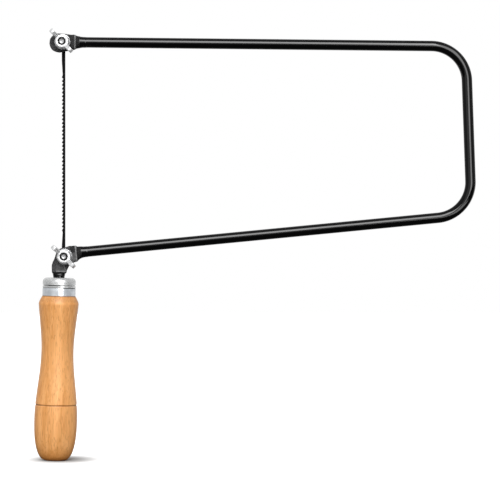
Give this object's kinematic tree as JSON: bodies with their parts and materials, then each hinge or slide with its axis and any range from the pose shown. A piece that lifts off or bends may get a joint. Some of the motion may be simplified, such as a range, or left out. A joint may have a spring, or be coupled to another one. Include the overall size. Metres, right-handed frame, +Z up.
{
  "type": "fret saw",
  "caption": "Deep-throat fret saw: bent-rod bow with forged ends, a fine pinless blade held by slotted bolts and wing nuts, and a turned wooden handle on a ferruled tang.",
  "frame": {"origin": "centre of the flat end face of the handle", "axes": "+Z up along the blade towards the upper clamp, +X from the blade into the throat towards the back of the bow, +Y away from the wing nuts"},
  "size_m": [0.2581, 0.0246, 0.2517],
  "materials": {
    "bow_enamel": "gloss black enamel on a bent steel rod, more matt on the forged ends",
    "blade_steel": "blackened spring steel",
    "plated_bolt": "bright zinc plate",
    "plated_washer": "bright zinc plate",
    "plated_wing_nut": "bright zinc plate over a cast surface",
    "collar_zinc": "satin zinc plate",
    "ferrule_plating": "bright nickel plate",
    "handle_beech": "turned beech under thin satin varnish"
  },
  "bodies": {
    "frame": {"frame_bow": "bow_enamel", "upper_washer": "plated_washer", "lower_washer": "plated_washer", "tang_collar": "collar_zinc", "ferrule": "ferrule_plating", "handle": "handle_beech"},
    "upper_wing_nut": {"upper_wing_nut": "plated_wing_nut"},
    "upper_clamp_bolt": {"upper_clamp_bolt": "plated_bolt"},
    "lower_wing_nut": {"lower_wing_nut": "plated_wing_nut"},
    "lower_clamp_bolt": {"lower_clamp_bolt": "plated_bolt"},
    "blade": {"blade": "blade_steel"}
  },
  "joints": [
    {"name": "upper_wing_nut_turn", "type": "hinge", "parent": "frame", "child": "upper_wing_nut", "pos_m": [0.00467, 0, 0.24449], "axis": [0, -1, 0], "range_deg": [0, 990]},
    {"name": "upper_clamp_bolt_slide", "type": "slide", "parent": "frame", "child": "upper_clamp_bolt", "axis": [0, 1, 0], "range_m": [0, 0.00193]},
    {"name": "lower_wing_nut_turn", "type": "hinge", "parent": "frame", "child": "lower_wing_nut", "pos_m": [0.00587, 0, 0.11899], "axis": [0, -1, 0], "range_deg": [0, 990]},
    {"name": "lower_clamp_bolt_slide", "type": "slide", "parent": "frame", "child": "lower_clamp_bolt", "axis": [0, 1, 0], "range_m": [0, 0.00193]},
    {"name": "blade_release", "type": "slide", "parent": "frame", "child": "blade", "axis": [-1, 0, 0], "range_m": [0, 0.02]}
  ],
  "couplings": [
    {"joint": "upper_wing_nut_turn", "follows": "upper_clamp_bolt_slide", "rad_per_m": 8975.9},
    {"joint": "lower_wing_nut_turn", "follows": "lower_clamp_bolt_slide", "rad_per_m": 8975.9}
  ]
}
